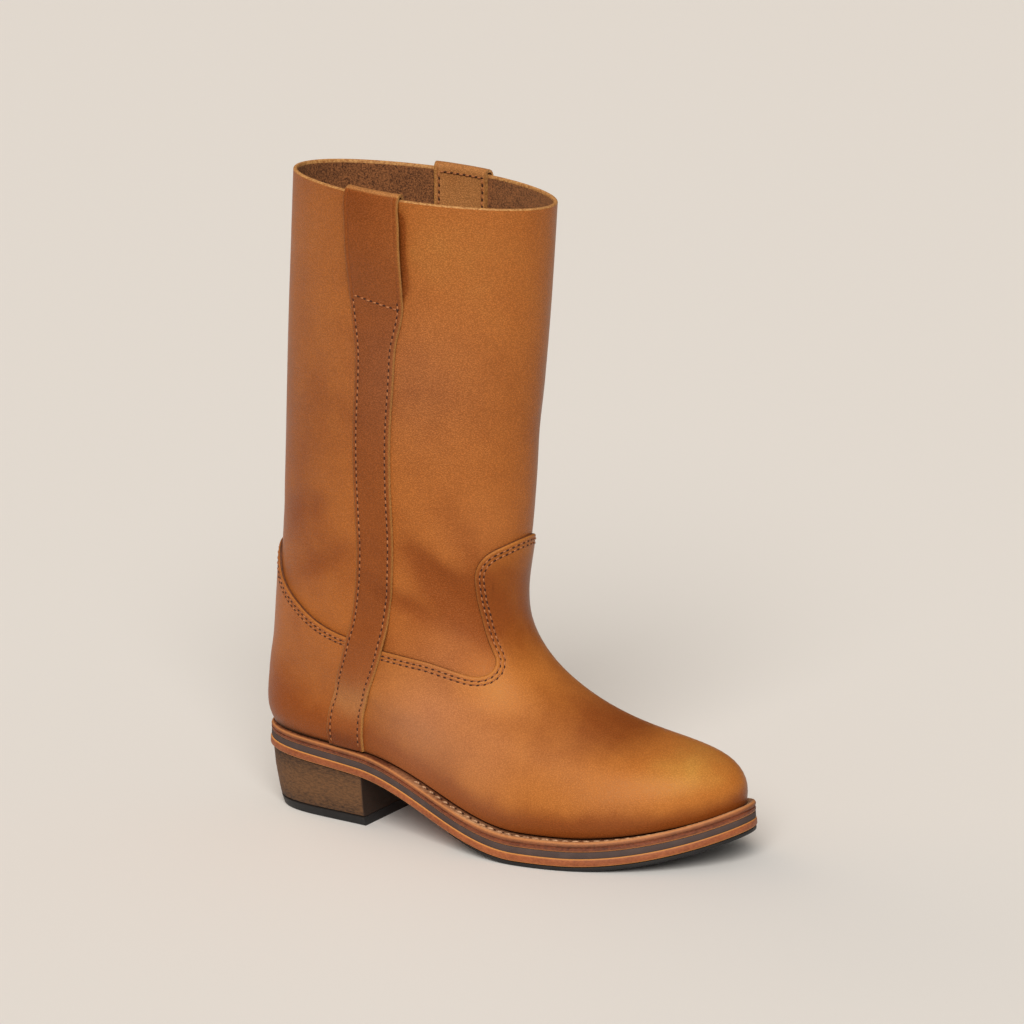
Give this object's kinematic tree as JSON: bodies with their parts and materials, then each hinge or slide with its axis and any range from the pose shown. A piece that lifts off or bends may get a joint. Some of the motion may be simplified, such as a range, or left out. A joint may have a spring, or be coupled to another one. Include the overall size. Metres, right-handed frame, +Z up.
{
  "type": "leather riding boot",
  "caption": "Right-foot pull-on leather riding boot: tall straight shaft, stitched vamp and heel counter, side strips with pull loops, welted layered sole and block heel.",
  "frame": {"origin": "the middle of the boot's bounding box, on the floor it stands on", "axes": "+X from the heel to the toe, +Y to the inner side of the foot, +Z up"},
  "size_m": [0.2956, 0.116, 0.3595],
  "materials": {
    "upper": "waxed tan leather, fine grain, raw brown inside",
    "vamp": "waxed tan leather, a little paler over the toe",
    "counter": "waxed tan leather",
    "side_strip": "darker tan leather with pale cut edges",
    "insole": "plain vegetable-tanned leather",
    "welt": "stitched leather, pale ledge, reddish edge",
    "midsole": "matt grey-brown",
    "outsole": "burnished orange-brown sole leather",
    "heel_block": "dull brown stacked leather",
    "black_rubber": "matt black"
  },
  "bodies": {
    "root": {"upper": "upper", "vamp": "vamp", "counter": "counter", "side_strip_outer": "side_strip", "side_strip_inner": "side_strip", "insole": "insole", "welt": "welt", "midsole": "midsole", "outsole": "outsole", "half_sole": "black_rubber", "heel_block": "heel_block", "heel_lift": "black_rubber"}
  },
  "joints": []
}
